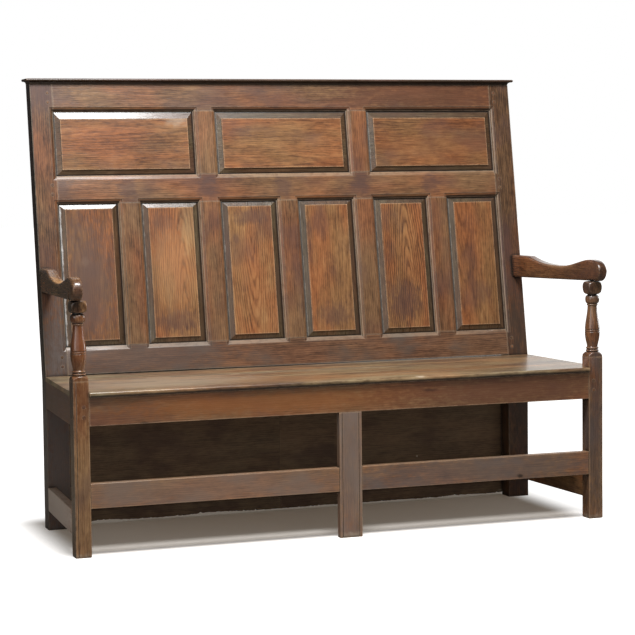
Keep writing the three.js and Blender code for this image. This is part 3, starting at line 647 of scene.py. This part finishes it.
def between(a, b, c, d, t):
    """A smooth curve from b to c, steered by a and d."""
    return 0.5 * (2 * b + (c - a) * t + (2 * a - 5 * b + 4 * c - d) * t * t + (3 * b - a - 3 * c + d) * t ** 3)


def refined(rows, steps):
    finer = []
    for k in range(len(rows) - 1):
        four = [rows[min(max(k + j, 0), len(rows) - 1)] for j in (-1, 0, 1, 2)]
        for step in range(steps):
            t = step / steps
            radius = between(*(row[1] for row in four), t)
            finer.append((rows[k][0] + (rows[k + 1][0] - rows[k][0]) * t, radius))
    return [*finer, rows[-1]]


def skin_of(bm, loops):
    """Closed skin over loops of points that follow one another."""
    rings = [[bm.verts.new(point) for point in loop] for loop in loops]
    for low, high in zip(rings, rings[1:]):
        for k in range(len(low)):
            after = (k + 1) % len(low)
            bm.faces.new((low[k], low[after], high[after], high[k]))
    bm.faces.new(list(reversed(rings[0])))
    bm.faces.new(rings[-1])


def made(name, bm, material, replaced):
    mesh = bpy.data.meshes.new(name)
    bmesh.ops.recalc_face_normals(bm, faces=bm.faces)
    bm.to_mesh(mesh)
    bm.free()
    for polygon in mesh.polygons:
        polygon.use_smooth = len(polygon.vertices) == 4
    mesh.materials.append(material)
    piece = bpy.data.objects.new(name, mesh)
    bpy.context.scene.collection.objects.link(piece)
    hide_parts(replaced)
    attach(piece, "root")
    return piece


def post_loop(centre, height, radius):
    points = []
    for k in range(POST_AROUND):
        angle = 2 * math.pi * (k + 0.5) / POST_AROUND
        wall = STOCK_HALF / max(abs(math.cos(angle)), abs(math.sin(angle)))
        reach = (radius ** -ARRIS_POWER + wall ** -ARRIS_POWER) ** (-1 / ARRIS_POWER) * MM
        points.append((centre.x + reach * math.cos(angle), centre.y + reach * math.sin(angle), height))
    return points


def dress_front_leg(side):
    """The square leg as it is, with a finer turned post over it."""
    name = f"front_leg_{side}"
    low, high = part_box(name)
    material = oak_for(name, "up", TURNED)
    join = (SQUARE_TOP + POST_ROWS[0][0]) * MM
    dressed(name, [material], LEG_EASE, level=join + JOIN_OVERLAP)
    block_lift = high.z - leg_high.z
    loops = []
    for height, radius in refined(POST_ROWS, POST_FINENESS):
        lift = block_lift * share(height, BLOCK_FOOT, BLOCK_FOOT + BLOCK_RISE)
        loops.append(post_loop((low + high) / 2, (SQUARE_TOP + height) * MM + lift, radius))
    bm = bmesh.new()
    skin_of(bm, loops)
    made(f"turned_post_{side}", bm, material, name)


# Arms: the CAD arm's own outline, with arrises rounded by hands and the scroll worked to a knob.
# Stations are in mm behind the middle of the post.
ARM_PLACE = Vector((0.785, -0.288, 0))
ARM_SPLAY = 0.055
ARM_HALF = 17
BESIDE_TENON = 11
OVER_ARMS, UNDER_ARMS = 1.2, 0.3
NOSE = -50
NOSE_TIP = NOSE + 0.15
NOSE_START = -18
NOSE_STEPS = 14
NOSE_TAPER = 0.26
KNOB_START = 8
STATION_STEP = 5
PAST_BACK = 460
PAST_LAST = 30
ARM_AROUND = 48
SQUARE_POWER = 7.0
KNOB_SOFTENING = 3.8


def arm_heights(tree, to_world, y):
    """Top and underside of the CAD arm at a distance behind the post, found beside the post's tenon."""
    heights = []
    for start, way in ((OVER_ARMS, -1), (UNDER_ARMS, 1)):
        origin = to_world @ Vector((BESIDE_TENON * MM, y * MM, 0))
        hit = tree.ray_cast(Vector((origin.x, origin.y, start)), Vector((0, 0, way)))[0]
        if hit is None:
            return None
        heights.append(hit.z)
    return heights


def arm_loop(to_world, y, top, foot, half, power):
    """A rounded rectangle across the arm. The greater the power, the squarer it is."""
    points = []
    middle, tall = (top + foot) / 2, (top - foot) / 2
    for k in range(ARM_AROUND):
        angle = 2 * math.pi * k / ARM_AROUND
        across = math.copysign(abs(math.cos(angle)) ** (2 / power), math.cos(angle))
        upward = math.copysign(abs(math.sin(angle)) ** (2 / power), math.sin(angle))
        point = to_world @ Vector((across * half * MM, y * MM, 0))
        points.append((point.x, point.y, middle + upward * tall))
    return points


def dress_arm(side):
    name = f"arm_{side}"
    hand = -1 if side == "left" else 1
    place = Vector((hand * ARM_PLACE.x, ARM_PLACE.y, 0))
    to_world = Matrix.Translation(place) @ Matrix.Rotation(hand * ARM_SPLAY, 4, "Z")
    source = bmesh.new()
    source.from_mesh(nodes[name].data)
    tree = BVHTree.FromBMesh(source)
    source.free()
    turns = [math.pi / 2 * step / NOSE_STEPS for step in range(1, NOSE_STEPS + 1)]
    nose = [NOSE + (NOSE_START - NOSE) * (1 - math.cos(turn)) for turn in turns]
    stations = [NOSE_TIP, *nose, *range(NOSE_START + 4, PAST_BACK, STATION_STEP)]
    loops = []
    for y in stations:
        heights = arm_heights(tree, to_world, y)
        if heights is None:
            continue
        half = ARM_HALF * (1 - NOSE_TAPER * share(y, NOSE_START, NOSE) ** 2.4)
        power = SQUARE_POWER - KNOB_SOFTENING * share(y, KNOB_START, NOSE) ** 0.7
        loops.append(arm_loop(to_world, y, *heights, half, power))
        reached = heights
    loops.append(arm_loop(to_world, stations[-1] + PAST_LAST, *reached, ARM_HALF, SQUARE_POWER))
    bm = bmesh.new()
    skin_of(bm, loops)
    cut_off(bm, BACK_KNEE, BEHIND)
    made(f"{name}_worn", bm, oak_for(name, "side", TURNED), name)


# Boards under the seat: their lower edge is worn and eaten away, in long bites, chips and ragged fibres.
# Each is noise with so many repeats per metre, at a row of its own.
EDGE_STEP = 2.5 * MM
EDGE_MOST = 6 * MM
EDGE_SLOPE = 2.5 * MM
BITES = (6, 3.1)
CHIPS = (120, 8.7)
FIBRES = (80, 1.3)


def unevenness(x, repeats, row):
    return noise.noise(Vector((x * repeats, row, 0)))


def dress_board(name):
    low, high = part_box(name)
    steps = round((high.x - low.x) / EDGE_STEP)
    loops = []
    for k in range(steps + 1):
        x = low.x + (high.x - low.x) * k / steps
        bite = 1.3 * max(unevenness(x, *BITES), 0)
        chip = 1.2 * max(unevenness(x, *CHIPS) - 0.1, 0)
        foot = low.z + min(EDGE_MOST * (bite + chip), EDGE_MOST)
        slope = foot + EDGE_SLOPE * (1 + unevenness(x, *FIBRES))
        loops.append([(x, low.y, slope), (x, high.y, foot), (x, high.y, high.z), (x, low.y, high.z)])
    bm = bmesh.new()
    skin_of(bm, loops)
    piece = made(f"{name}_worn", bm, oak_for(name, "across", BOARDS), name)
    for polygon in piece.data.polygons:
        polygon.use_smooth = False


# What the pieces have of their own: figure, tone, knots, stains, cracks and wear, and in places painted shade,
# painted shadow lines, painted sheen and painted highlights.
# A spot is a place on the bench, its reach, a colour, how strong it is and, where it is given, how ragged.
# A crack is its place across the board, where it starts and ends along it, and its width.
JOINT_REACH = (0.045, 0.03, 0.05)
GREY_PEG = {"tone": 0.3, "stain": 0.9, "stain_colour": colour(84, 68, 60)}


def joint_stains(places):
    return tuple((place, JOINT_REACH, PURPLE, 0.55) for place in places)


OWN_LOOKS = {
    "upper_panel_1": {
        "heart": (0.05, 0.06), "climb": 0.02, "ring": 5 * MM, "tone": 0.4,
        "spots": (((-0.33, 0.271, 1.2), (0.05, 0.03, 0.028), PALE, 0.3),),
    },
    "upper_panel_2": {
        "heart": (-0.06, 0.03), "climb": 0.03, "ring": 5 * MM, "tone": 0.43,
        "spots": (((-0.133, 0.264, 1.16), (0.07, 0.03, 0.02), PURPLE, 0.4),),
    },
    "upper_panel_3": {
        "heart": (0.08, 0.02), "climb": -0.02, "tone": 0.38, "ring": 5 * MM,
        "spots": (((0.52, 0.26, 1.11), (0.3, 0.05, 0.06), colour(138, 84, 50), 0.35),),
    },
    "lower_panel_1": {
        "heart": (-0.04, 0.012), "climb": 0.05, "tone": 0.36, "stain": 0.75,
        "spots": (
            ((-0.639, 0.2, 0.781), (0.02, 0.03, 0.02), colour(150, 120, 96), 0.5),
            ((-0.63, 0.2, 0.7), (0.13, 0.1, 0.3), colour(108, 84, 72), 0.65),
        ),
    },
    # A near-white painted glint down the outer edge of lower panel 1's left bevel
    "lower_panel_1_bevel": {
        "spots": (((-0.7088, 0.2, 0.72), (0.009, 3.0, 3.0), colour(255, 254, 250), 1.0),),
    },
    "lower_panel_2": {
        "heart": (0.03, 0.012), "climb": 0.09, "tone": 0.5, "stain": 0.3, "figure": 0.2,
        "spots": (
            ((-0.36, 0.175, 0.595), (0.09, 0.04, 0.05), PURPLE, 0.6),
            ((-0.37, 0.2, 0.76), (0.09, 0.06, 0.2), colour(188, 148, 106), 0.25),
            ((-0.4, 0.22, 0.9), (0.05, 0.04, 0.05), PURPLE, 0.35),
            ((-0.32, 0.21, 0.86), (0.03, 0.03, 0.09), colour(196, 160, 112), 0.3),
        ),
    },
    "lower_panel_3": {
        "heart": (0.0, 0.012), "climb": -0.1, "tone": 0.5, "figure": 0.2,
        "spots": (
            ((-0.12, 0.222, 0.905), (0.075, 0.04, 0.035), PURPLE, 0.6),
            ((-0.17, 0.205, 0.84), (0.02, 0.03, 0.03), PURPLE, 0.5),
        ),
    },
    "lower_panel_4": {
        "heart": (0.07, 0.04), "climb": 0.04, "tone": 0.46,
        "spots": (((0.14, 0.17, 0.6), (0.08, 0.04, 0.05), PURPLE, 0.5),),
    },
    "lower_panel_5": {
        "heart": (0.01, 0.01), "climb": 0.09, "tone": 0.42, "figure": 0.24,
        "spots": (((0.371, 0.178, 0.63), (0.08, 0.04, 0.1), PURPLE, 0.6),),
    },
    "lower_panel_6": {"heart": (-0.04, 0.05), "climb": -0.06, "tone": 0.42},
    "back_top_rail": {"tone": 0.4, "spots": (
        ((0.5, 0.279, 1.275), (0.5, 0.03, 0.08), colour(92, 56, 38), 0.7),
        ((-0.74, 0.279, 1.27), (0.12, 0.03, 0.09), PURPLE, 0.5),
    )},
    "back_middle_rail": {"spots": joint_stains((
        (-0.495, 0.234, 0.995), (-0.25, 0.234, 0.995), (-0.005, 0.234, 0.995), (0.25, 0.234, 0.995),
        (0.483, 0.234, 0.995), (-0.25, 0.24, 1.03), (0.25, 0.24, 1.03), (-0.7, 0.235, 1.0),
    ))},
    "back_bottom_rail": {
        "tone": 0.36, "contrast": 0.2, "tint": 0.3, "stain": 0.9, "stain_colour": colour(92, 78, 68),
        "spots": (
            ((-0.5, 0.15, 0.5), (0.4, 0.1, 0.08), colour(98, 82, 74), 0.6),
            # Dark lines along the rail's foot, where the seat meets it: painted shadow
            ((-0.4, 0.145, 0.451), (0.55, 0.05, 0.0065), SOOT, 0.95, 0.5),
            ((0.2, 0.145, 0.451), (0.3, 0.05, 0.004), SOOT, 0.6, 0.5),
        ),
    },
    "back_stile_left": {"tone": 0.35, "spots": (
        # The outer side darkened: painted shade
        ((-0.776, 0.2, 0.7), (0.004, 1.0, 1.6), SOOT, 0.9),
        ((-0.74, 0.16, 0.52), (0.08, 0.06, 0.16), colour(70, 56, 48), 0.7),
        ((-0.74, 0.17, 0.2), (0.1, 0.1, 0.6), colour(106, 96, 92), 0.8),
        ((-0.74, 0.28, 1.27), (0.06, 0.05, 0.07), PURPLE, 0.6),
    )},
    "back_stile_right": {"tone": 0.31, "stain": 0.7, "spots": (
        ((0.74, 0.17, 0.5), (0.08, 0.08, 0.3), colour(72, 58, 48), 0.6),
        ((0.74, 0.19, 0.2), (0.08, 0.08, 0.5), colour(70, 60, 52), 0.5),
    )},
    "upper_muntin_1": {"tone": 0.46},
    "front_seat_rail": {"contrast": 0.22, "spots": (
        ((-0.2, -0.309, 0.4), (0.7, 0.03, 0.045), colour(148, 90, 44), 0.7),
        ((0.246, -0.309, 0.41), (0.035, 0.02, 0.007), SOOT, 0.85),
        ((-0.603, -0.309, 0.36), (0.02, 0.02, 0.006), SOOT, 0.8),
        ((0.5, -0.309, 0.4), (0.6, 0.03, 0.07), colour(104, 62, 44), 0.7),
        # A dark line along the rail's top, under the seat's nose: painted shadow
        ((0.0, -0.309, 0.4395), (9.0, 0.05, 0.005), SOOT, 0.9, 0.3),
    )},
    "front_leg_left": {"tone": 0.56, "spots": (
        ((-0.785, -0.288, 0.6), (0.06, 0.06, 0.12), colour(118, 62, 32), 0.75),
        ((-0.785, -0.288, 0.43), (0.06, 0.06, 0.14), colour(108, 62, 34), 0.85),
        # The top block under the arm darkened: painted shade
        ((-0.79, -0.29, 0.685), (0.05, 0.05, 0.05), SOOT, 0.85),
        ((-0.79, -0.29, 0.0), (0.05, 0.05, 0.02), PALE, 0.4),
        ((-0.8, -0.29, 0.3), (0.004, 0.06, 0.6), SOOT, 0.6),
    )},
    "front_leg_right": {"tone": 0.42, "stain": 0.8, "stain_colour": colour(88, 74, 68), "spots": (
        ((0.778, -0.29, 0.25), (0.06, 0.06, 0.4), colour(94, 80, 76), 0.5),
        # The top block under the arm darkened: painted shade
        ((0.778, -0.29, 0.69), (0.05, 0.05, 0.05), SOOT, 0.6),
        ((0.778, -0.29, 0.0), (0.05, 0.05, 0.02), PALE, 0.35),
    )},
    "side_seat_rail_left": {"spots": (
        ((-0.784, 0.0, 0.41), (0.05, 0.6, 0.12), colour(100, 82, 76), 0.7),
    )},
    "side_stretcher_left": {"spots": (
        # A pale wash over the outer side: painted sheen
        ((-0.784, 0.0, 0.09), (0.05, 0.6, 0.1), colour(218, 200, 186), 0.8),
    )},
    "front_leg_centre": {"tone": 0.54, "stain": 0.9, "stain_colour": colour(126, 110, 100), "spots": (
        ((0.0, -0.31, 0.2), (0.1, 0.1, 0.4), colour(128, 112, 104), 0.6),
        ((0.0, -0.31, 0.0), (0.06, 0.05, 0.02), PALE, 0.35),
    )},
    "front_stretcher_left": {
        "tone": 0.54, "tint": 0.6, "stain": 0.7, "stain_colour": colour(126, 108, 96),
        "spots": (((-0.4, -0.309, 0.17), (0.7, 0.05, 0.07), colour(130, 108, 94), 0.5),),
    },
    "front_stretcher_right": {
        "tone": 0.48, "tint": 0.6, "stain": 0.9, "stain_colour": colour(106, 94, 88),
        "spots": (
            ((0.4, -0.309, 0.17), (0.6, 0.05, 0.07), colour(106, 92, 86), 0.6),
            ((0.53, -0.309, 0.142), (0.014, 0.02, 0.01), SOOT, 0.8),
        ),
    },
    "arm_left": {"tone": 0.4, "wax": 0.4, "spots": (
        ((-0.775, -0.1, 0.745), (0.03, 0.15, 0.018), colour(216, 162, 100), 0.95),
        # The outer side darkened: painted shade
        ((-0.81, -0.15, 0.72), (0.012, 0.5, 0.06), colour(78, 50, 38), 0.6),
    )},
    "arm_right": {"tone": 0.34, "spots": (
        ((0.785, -0.32, 0.745), (0.03, 0.05, 0.05), colour(58, 42, 36), 0.6),
        ((0.765, -0.1, 0.745), (0.03, 0.14, 0.016), colour(170, 132, 96), 0.5),
    )},
    "seat_board_front": {
        "tone": 0.52,
        "cracks": ((0.13, -0.62, 0.28, 6.5 * MM), (0.03, -0.7, -0.2, 4.5 * MM), (-0.06, 0.1, 0.66, 3 * MM)),
        "spots": (
            ((-0.5, -0.15, 0.452), (0.4, 0.2, 0.02), colour(186, 168, 146), 0.6),
            # The nose's lower front darkened: painted shade
            ((0.0, -0.32, 0.438), (9.0, 0.09, 0.0095), SOOT, 0.95, 0.25),
            ((0.213, -0.312, 0.452), (0.022, 0.014, 0.008), PALE, 0.7),
            ((0.35, -0.16, 0.452), (0.3, 0.12, 0.02), colour(122, 82, 46), 0.45),
            ((-0.1, -0.22, 0.452), (0.4, 0.08, 0.02), colour(150, 104, 64), 0.35),
        ),
    },
    "seat_board_rear": {
        "tone": 0.48,
        "cracks": ((0.02, 0.0, 0.74, 4 * MM),),
        "spots": (
            # A dark line along the rear edge, under the back's bottom rail: painted shadow
            ((-0.4, 0.145, 0.452), (0.5, 0.026, 0.01), SOOT, 0.95),
            ((0.3, 0.135, 0.452), (0.36, 0.01, 0.01), PALE, 0.45),
        ),
    },
    "peg_bottom_rail_left_upper": GREY_PEG,
    "peg_bottom_rail_left_lower": GREY_PEG,
    "lower_back_board_left": {"spots": (
        ((-0.14, 0.2, 0.0), (0.05, 0.02, 0.012), PALE, 0.35),
        ((-0.033, 0.2, 0.22), (0.008, 0.02, 0.3), SOOT, 0.8),
    )},
    "lower_back_board_right": {"spots": (
        ((0.415, 0.195, 0.141), (0.004, 0.02, 0.004), PALE, 0.9),
        ((0.708, 0.195, 0.01), (0.02, 0.02, 0.012), PALE, 0.4),
    )},
}

dress_all(starting("back_top", "back_middle", "back_bottom"), "across_back", FRAME)
dress_all(starting("back_stile", "upper_muntin", "lower_muntin"), "up_back", FRAME)
dress_all(["front_seat_rail", *starting("front_stretcher")], "across", FRONT, FULL_EASE)
dress_all(["front_leg_centre"], "up", FRONT, LEG_EASE)
dress_all(starting("side_"), "side", FRONT, FULL_EASE)
dress_all(starting("seat_board"), "flat", SEAT, FULL_EASE)
dress_all(starting("rear_"), "across", BOARDS)
dress_all(starting("seat_bearer"), "deep", BOARDS)
dress_all(["crest_moulding"], "across", CREST, CREST_EASE)
dress_all(starting("peg_"), "deep", PEG, PEG_EASE)
dress_panels(starting("upper_panel"), "across_back")
dress_panels(starting("lower_panel"), "up_back")
for side in SIDES:
    dress_front_leg(side)
    dress_arm(side)
    dress_board(f"lower_back_board_{side}")


# Stage: white floor that keeps the shadow, studio surroundings and a soft lamp.
# The floor has a colour for the camera, one for the light that it throws back and one for reflections.
FLOOR_SIZE = 60
FLOOR_SEEN = (0.98, 0.93, 0.87)
FLOOR_BOUNCED = (0.55, 0.54, 0.52)
FLOOR_MIRRORED = (0.2, 0.18, 0.15)
PLAN_MIDDLE = (-0.02, 0.02, 0.0)
PLAN_HALF = (0.72, 0.23, 1.0)
GLOW_FADE = 0.15
SHADOW_GLOW = (0.055, 0.041, 0.027)
WHITE = (1, 1, 1)


def add_floor():
    """A floor that glows white away from the bench, and little in its own plan, where the shadow is."""
    bpy.ops.mesh.primitive_plane_add(size=FLOOR_SIZE, location=(0, 0, 0))
    floor = bpy.context.object
    floor.name = "floor"
    material = bpy.data.materials.new("floor")
    material.use_nodes = True
    graph = Graph(material.node_tree)
    from_middle = graph.vector("ABSOLUTE", graph.vector("SUBTRACT", graph.where(), PLAN_MIDDLE))
    beyond = graph.vector("MAXIMUM", graph.vector("SUBTRACT", from_middle, PLAN_HALF), (0, 0, 0))
    outside = graph.spread(graph.measure("LENGTH", beyond), 0.0, GLOW_FADE)
    glow_colour = graph.mix(outside, solid(SHADOW_GLOW), solid(WHITE))
    path = graph.add("ShaderNodeLightPath").outputs
    pale = graph.add("ShaderNodeBsdfDiffuse", {"Color": solid(FLOOR_SEEN)}).outputs[0]
    unseen = graph.mix(path["Is Glossy Ray"], solid(FLOOR_BOUNCED), solid(FLOOR_MIRRORED))
    plain = graph.add("ShaderNodeBsdfDiffuse", {"Color": unseen}).outputs[0]
    glow = graph.add("ShaderNodeEmission", {"Color": glow_colour, "Strength": 1.0}).outputs[0]
    both = graph.add("ShaderNodeAddShader", {0: pale, 1: glow}).outputs[0]
    surface = graph.add("ShaderNodeMixShader", {0: path["Is Camera Ray"], 1: plain, 2: both}).outputs[0]
    graph.add("ShaderNodeOutputMaterial", {"Surface": surface})
    floor.data.materials.append(material)


# What the wax reflects: each way, the cosines between which it fades in, and its strength
REFLECTED = {
    "backdrop": ((0.85, 0.5, 0.1), 0.72, 0.86, 1.0),
    "left_wall": ((-0.854, -0.487, 0.184), 0.93, 0.985, 2.2),
    "ceiling": ((-0.2, -0.62, 0.76), 0.81, 0.9, 1.5),
    "cool_glow": ((-0.42, -0.86, 0.3), 0.86, 0.95, 0.65),
    "right_strip": ((0.967, 0.24, 0.1), 0.97, 0.99, 5.0),
}
DIM_ROOM = 0.06
FRONT_LIGHT = ((0, -1, 0.15), -0.2, 1.0, 0.5)
FILL_LIGHT = 0.17


def add_world():
    """White for the camera, light mostly from the front, and a dim room with bright parts to reflect."""
    world = bpy.data.worlds.new("studio")
    bpy.context.scene.world = world
    world.use_nodes = True
    graph = Graph(world.node_tree)
    path = graph.add("ShaderNodeLightPath").outputs
    way = graph.add("ShaderNodeTexCoord").outputs["Generated"]

    def towards(direction, low, high, strength):
        facing = graph.measure("DOT_PRODUCT", way, Vector(direction).normalized())
        return graph.spread(facing, low, high, 0.0, strength)

    mirrored = DIM_ROOM
    for place in REFLECTED.values():
        mirrored = graph.math("MAXIMUM", towards(*place), mirrored)
    diffuse = graph.math("MAXIMUM", towards(*FRONT_LIGHT), FILL_LIGHT)
    strength = graph.math("MULTIPLY", path["Is Diffuse Ray"], diffuse)
    strength = graph.math("ADD", strength, graph.math("MULTIPLY", path["Is Glossy Ray"], mirrored))
    straight = graph.math("MAXIMUM", path["Is Camera Ray"], path["Is Transmission Ray"])
    strength = graph.math("MAXIMUM", strength, straight)
    shell = graph.add("ShaderNodeBackground", {"Color": solid(WHITE), "Strength": strength})
    graph.add("ShaderNodeOutputWorld", {"Surface": shell.outputs[0]})


def add_lamp(name, place, target, size, power):
    data = bpy.data.lights.new(name, "AREA")
    data.shape = "RECTANGLE"
    data.size, data.size_y = size
    data.energy = power
    lamp = bpy.data.objects.new(name, data)
    lamp.location = place
    aim = Vector(target) - Vector(place)
    lamp.rotation_euler = aim.to_track_quat("-Z", "Y").to_euler()
    bpy.context.scene.collection.objects.link(lamp)


add_floor()
add_world()
add_lamp("softbox", place=(-0.33, -1.15, 2.85), target=(-0.15, -0.1, 0.7), size=(1.0, 0.7), power=74)

bpy.context.scene.view_settings.view_transform = "Standard"
